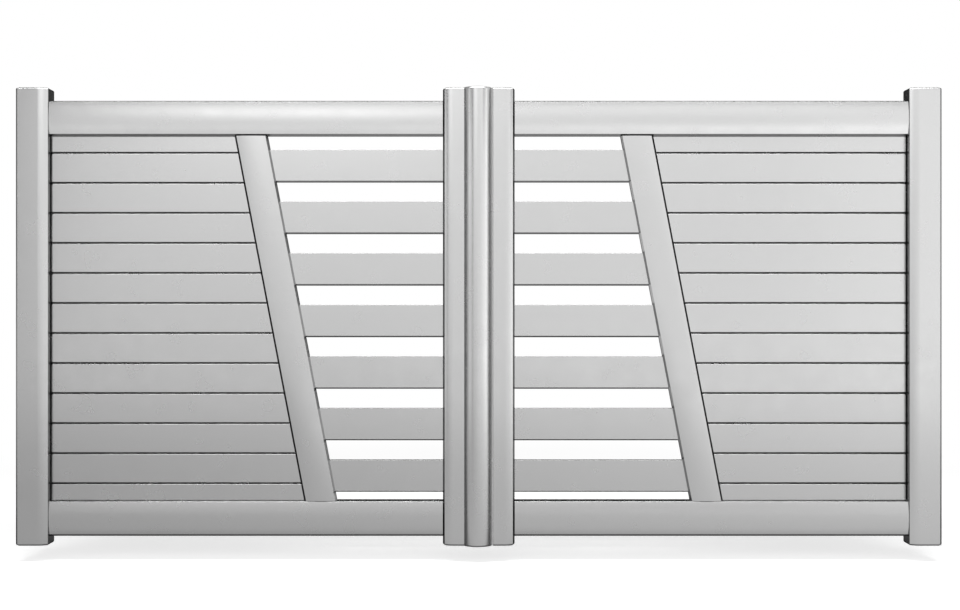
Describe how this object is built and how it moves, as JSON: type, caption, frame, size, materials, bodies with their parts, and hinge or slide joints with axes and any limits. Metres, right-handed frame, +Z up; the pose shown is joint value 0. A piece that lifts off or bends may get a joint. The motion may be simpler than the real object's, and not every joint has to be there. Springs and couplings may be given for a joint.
{
  "type": "swing gate",
  "caption": "Silver grey aluminium driveway gate with twin inward-swinging leaves, solid boards and open slats parted by slanted braces, half-round closing strip and plate hinges.",
  "frame": {"origin": "on the left pillar's face, at the back of the lower left hinge plate, level with the hinge axis", "axes": "+X from the left pillar to the right one, +Y inward, the way the leaves open, +Z up"},
  "size_m": [3, 0.159, 1.469],
  "materials": {
    "silver_coat": "satin silver grey powder coat on extruded aluminium",
    "end_caps": "satin silver grey, cast cap",
    "hinge_steel": "zinc-plated steel",
    "gasket_rubber": "grey rubber strip"
  },
  "bodies": {
    "wall_plates": {"left_lower_wall_plate": "hinge_steel", "left_upper_wall_plate": "hinge_steel", "right_lower_wall_plate": "hinge_steel", "right_upper_wall_plate": "hinge_steel"},
    "left_leaf": {"left_boards": "silver_coat", "left_bottom_caps": "end_caps", "left_bottom_rail": "silver_coat", "left_brace": "silver_coat", "left_closing_gasket": "gasket_rubber", "left_closing_post": "silver_coat", "left_cover_strip": "silver_coat", "left_hinge_stile": "silver_coat", "left_lower_hinge_strap": "hinge_steel", "left_meeting_stile": "silver_coat", "left_slat_1": "silver_coat", "left_slat_2": "silver_coat", "left_slat_3": "silver_coat", "left_slat_4": "silver_coat", "left_slat_5": "silver_coat", "left_slat_6": "silver_coat", "left_slat_7": "silver_coat", "left_top_caps": "end_caps", "left_top_rail": "silver_coat", "left_upper_hinge_strap": "hinge_steel"},
    "right_leaf": {"right_boards": "silver_coat", "right_bottom_caps": "end_caps", "right_bottom_rail": "silver_coat", "right_brace": "silver_coat", "right_hinge_stile": "silver_coat", "right_lower_hinge_strap": "hinge_steel", "right_meeting_stile": "silver_coat", "right_slat_1": "silver_coat", "right_slat_2": "silver_coat", "right_slat_3": "silver_coat", "right_slat_4": "silver_coat", "right_slat_5": "silver_coat", "right_slat_6": "silver_coat", "right_slat_7": "silver_coat", "right_top_caps": "end_caps", "right_top_rail": "silver_coat", "right_upper_hinge_strap": "hinge_steel"}
  },
  "joints": [
    {"name": "left_leaf_swing", "type": "hinge", "parent": "wall_plates", "child": "left_leaf", "pos_m": [0.027, 0, 0], "axis": [0, 0, 1], "range_deg": [0, 100]},
    {"name": "right_leaf_swing", "type": "hinge", "parent": "wall_plates", "child": "right_leaf", "pos_m": [2.973, 0, 0], "axis": [0, 0, -1], "range_deg": [0, 100]}
  ]
}
